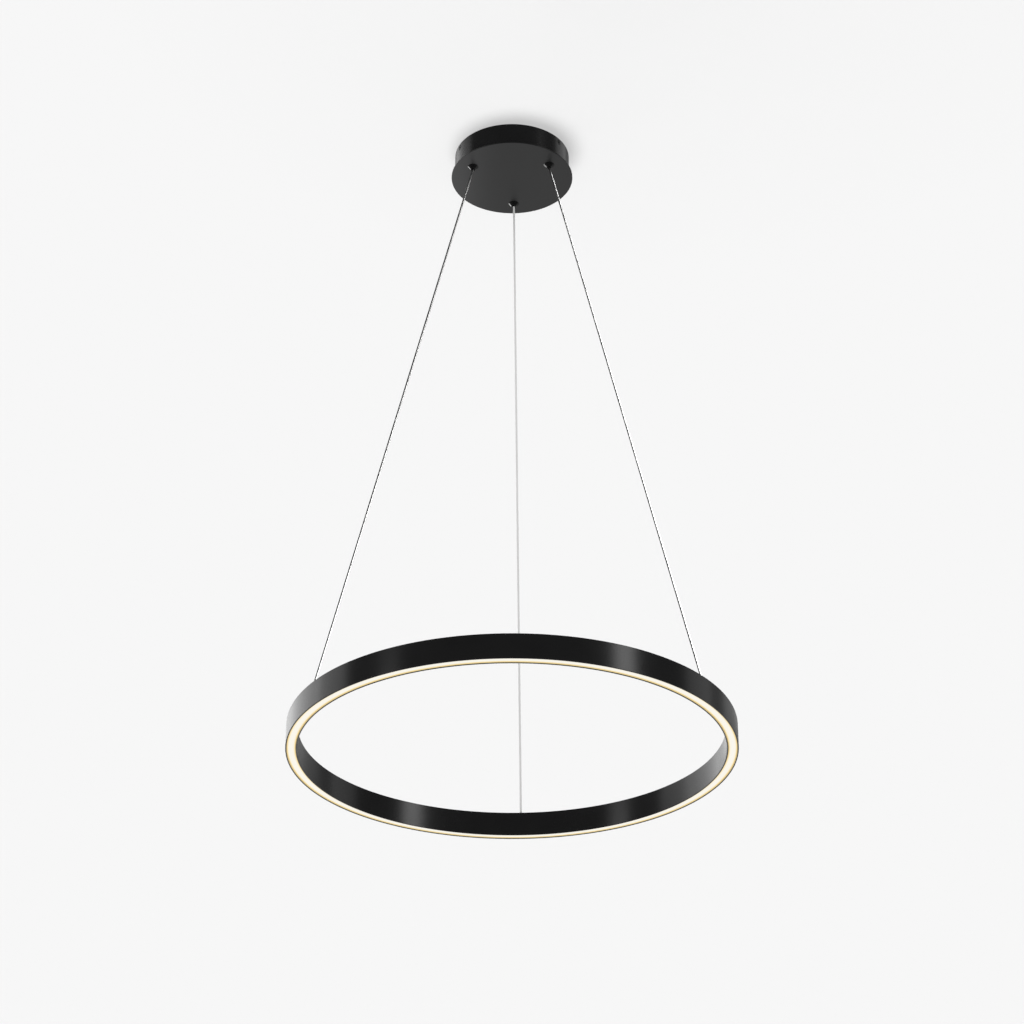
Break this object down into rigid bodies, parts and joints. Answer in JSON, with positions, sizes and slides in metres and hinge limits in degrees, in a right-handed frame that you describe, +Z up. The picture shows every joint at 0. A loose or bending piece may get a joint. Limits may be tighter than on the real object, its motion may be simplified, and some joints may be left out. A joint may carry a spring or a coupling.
{
  "type": "led ring chandelier",
  "caption": "Slim black ring lamp with an opal underside, hung level from a flat round ceiling canopy on thin steel wires and a pale power cable, its height set by push-release grippers.",
  "frame": {"origin": "centre of the canopy's top face, which lies against the ceiling", "axes": "+Z up, out of the ceiling face; the power cable comes down near +Y; the wires at 120 degrees to it"},
  "size_m": [0.6, 0.6, 0.97],
  "materials": {
    "ring_black": "satin black powder coat, fine",
    "canopy_black": "matt black powder coat",
    "drum_black": "satin black powder coat",
    "gripper_black": "black, turned and lacquered",
    "steel_wire": "stranded wire with a clear sheath",
    "pale_cable": "pale translucent sheath",
    "opal": "opal, warm light behind it",
    "aluminium": "plain mill finish",
    "tape_white": "white flexible circuit",
    "led_yellow": "phosphor face",
    "zinc_steel": "zinc plated",
    "black_screw": "black oxide",
    "spring_steel": "bright spring wire",
    "brass": "plain turned",
    "nylon": "natural nylon",
    "rubber_black": "soft black",
    "driver_white": "moulded white",
    "board_green": "solder mask",
    "winding_yellow": "wound and taped",
    "capacitor_black": "sleeved can",
    "lead_brown": "brown insulation",
    "lead_blue": "blue insulation",
    "lead_green": "green and yellow insulation",
    "lead_red": "red insulation"
  },
  "bodies": {
    "canopy": {"base_nuts": "zinc_steel", "board_terminals": "nylon", "cable_grommet": "rubber_black", "canopy_drum": "drum_black", "canopy_plate": "canopy_black", "ceiling_base": "zinc_steel", "cord_grip_body": "gripper_black", "cord_grip_cap": "nylon", "cord_grip_sleeve": "nylon", "driver_board": "board_green", "driver_capacitors": "capacitor_black", "driver_case": "driver_white", "driver_choke": "winding_yellow", "driver_lid": "driver_white", "driver_transformer": "winding_yellow", "earth_lead": "lead_green", "earth_tag": "brass", "gripper_body_left": "gripper_black", "gripper_body_right": "gripper_black", "gripper_cap_left": "zinc_steel", "gripper_cap_right": "zinc_steel", "gripper_nuts": "zinc_steel", "gripper_spring_left": "spring_steel", "gripper_spring_right": "spring_steel", "live_lead": "lead_brown", "neutral_lead": "lead_blue", "plate_nuts": "zinc_steel", "power_cable": "pale_cable", "power_cable_tail": "pale_cable", "rim_nuts": "zinc_steel", "side_screws": "black_screw", "suspension_wire_left": "steel_wire", "suspension_wire_right": "steel_wire", "terminal_block": "nylon", "terminal_clamps": "brass", "terminal_screws": "zinc_steel", "wire_tail_left": "steel_wire", "wire_tail_right": "steel_wire"},
    "ring": {"ring_channel": "ring_black", "diffuser": "opal", "led_carrier": "aluminium", "led_tape": "tape_white", "led_chips": "led_yellow", "anchor_block_left": "aluminium", "anchor_block_right": "aluminium", "anchor_block_cable": "aluminium", "wire_ball_left": "zinc_steel", "wire_ball_right": "zinc_steel", "spacer_posts": "aluminium", "ring_top_screws": "black_screw", "carrier_screws": "zinc_steel", "cable_clamp_screw": "black_screw", "ring_cable_tail": "pale_cable", "ring_connector": "nylon", "ring_leads": "lead_red"},
    "release_left": {"gripper_plunger_left": "gripper_black", "gripper_balls_left": "zinc_steel"},
    "release_right": {"gripper_plunger_right": "gripper_black", "gripper_balls_right": "zinc_steel"}
  },
  "joints": [
    {"name": "ring_height", "type": "slide", "parent": "canopy", "child": "ring", "axis": [0, 0, 1], "range_m": [0, 0.47], "deforming": ["suspension_wire_left", "suspension_wire_right", "power_cable"]},
    {"name": "release_left_push", "type": "slide", "parent": "canopy", "child": "release_left", "axis": [0, 0, 1], "range_m": [0, 0.0015], "stiffness_N_per_m": 400, "springref_m": -0.002, "deforming": ["gripper_spring_left"]},
    {"name": "release_right_push", "type": "slide", "parent": "canopy", "child": "release_right", "axis": [0, 0, 1], "range_m": [0, 0.0015], "stiffness_N_per_m": 400, "springref_m": -0.002, "deforming": ["gripper_spring_right"]}
  ]
}
